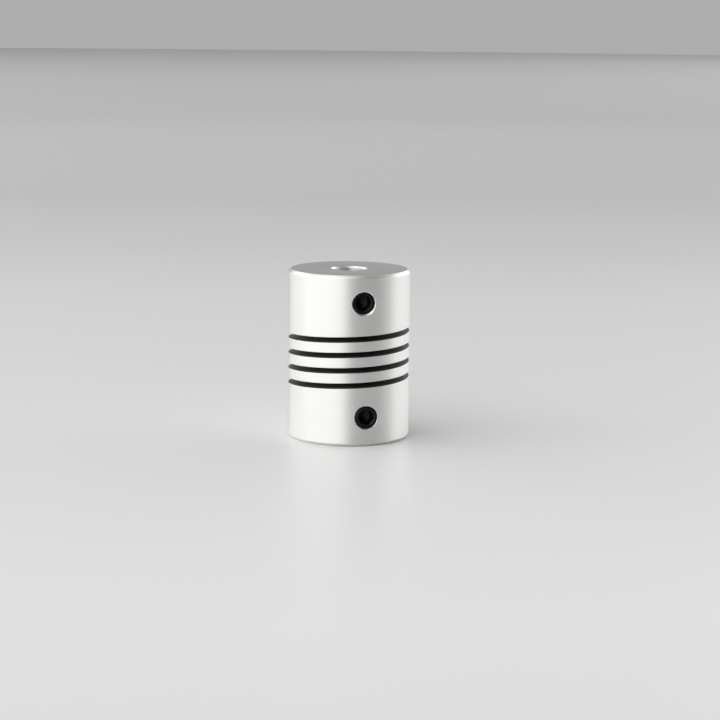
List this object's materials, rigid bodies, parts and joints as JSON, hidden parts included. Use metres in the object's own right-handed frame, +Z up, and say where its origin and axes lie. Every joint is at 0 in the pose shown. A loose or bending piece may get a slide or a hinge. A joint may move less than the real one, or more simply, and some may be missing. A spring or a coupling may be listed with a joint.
{
  "type": "flexible shaft coupling",
  "caption": "Helical-beam flexible shaft coupling: a one-piece turned body sawn into a spring at its middle, with socket set screws in each hub.",
  "frame": {"origin": "centre of the lower end face, on the bore axis", "axes": "+Z up along the bore axis, towards the end with the narrow bore; -Y towards the upper front set screw"},
  "size_m": [0.018, 0.018, 0.025],
  "materials": {
    "anodised_aluminium": "fine turned, clear anodised, satin",
    "black_oxide_steel": "black oxide on hardened steel, slightly oiled"
  },
  "bodies": {
    "root": {"coupling_body": "anodised_aluminium", "upper_front_set_screw": "black_oxide_steel", "upper_side_set_screw": "black_oxide_steel", "lower_front_set_screw": "black_oxide_steel", "lower_side_set_screw": "black_oxide_steel"}
  },
  "joints": []
}
